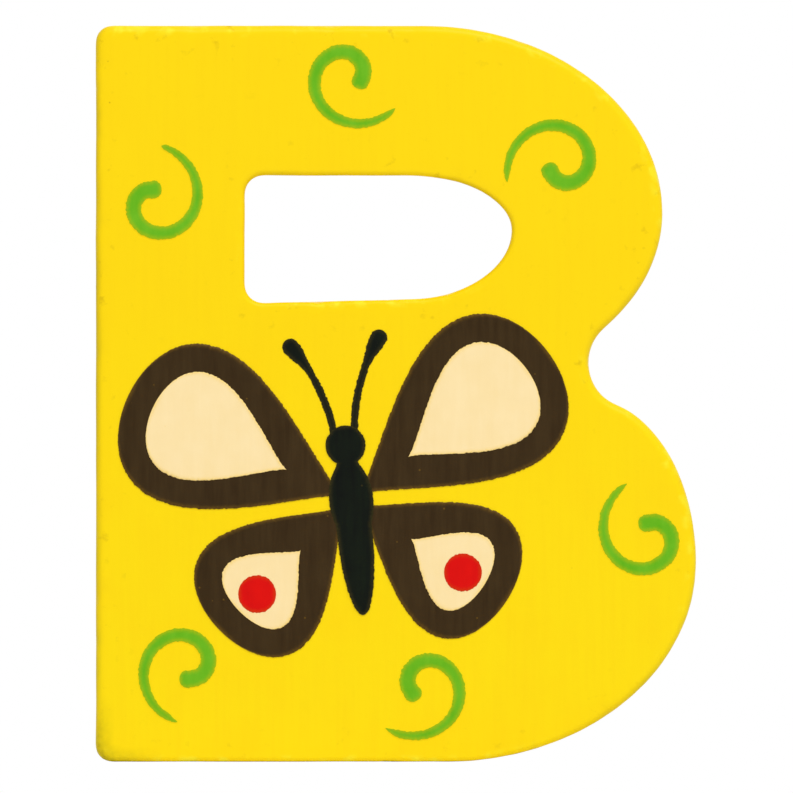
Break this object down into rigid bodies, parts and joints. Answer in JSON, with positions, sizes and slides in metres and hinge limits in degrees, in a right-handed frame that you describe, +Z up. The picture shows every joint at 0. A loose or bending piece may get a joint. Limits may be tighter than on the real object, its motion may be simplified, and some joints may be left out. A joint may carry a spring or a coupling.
{
  "type": "painted wooden letter",
  "caption": "Upright painted wooden letter B with rounded edges, one through opening, a printed butterfly and small printed curls; stands on its base or lies on its back.",
  "frame": {"origin": "on the plane the letter stands on, under the middle of the whole part", "axes": "+Z up along the letter's height, +X to the right as the printed face is read, -Y out of the printed face"},
  "size_m": [0.0572, 0.0106, 0.07],
  "materials": {
    "yellow_paint": "satin paint over sanded wood",
    "green_ink": "satin printed ink",
    "brown_ink": "satin printed ink",
    "cream_ink": "satin printed ink",
    "red_ink": "satin printed ink",
    "black_ink": "satin printed ink"
  },
  "bodies": {
    "root": {"letter_board": "yellow_paint", "curl_top": "green_ink", "curl_stem": "green_ink", "curl_bowl": "green_ink", "curl_right": "green_ink", "curl_base_left": "green_ink", "curl_base_middle": "green_ink", "fore_wing_left": "brown_ink", "fore_wing_right": "brown_ink", "hind_wing_left": "brown_ink", "hind_wing_right": "brown_ink", "fore_patch_left": "cream_ink", "fore_patch_right": "cream_ink", "hind_patch_left": "cream_ink", "hind_patch_right": "cream_ink", "hind_spot_left": "red_ink", "hind_spot_right": "red_ink", "butterfly_body": "black_ink", "antenna_left": "black_ink", "antenna_right": "black_ink"}
  },
  "joints": []
}
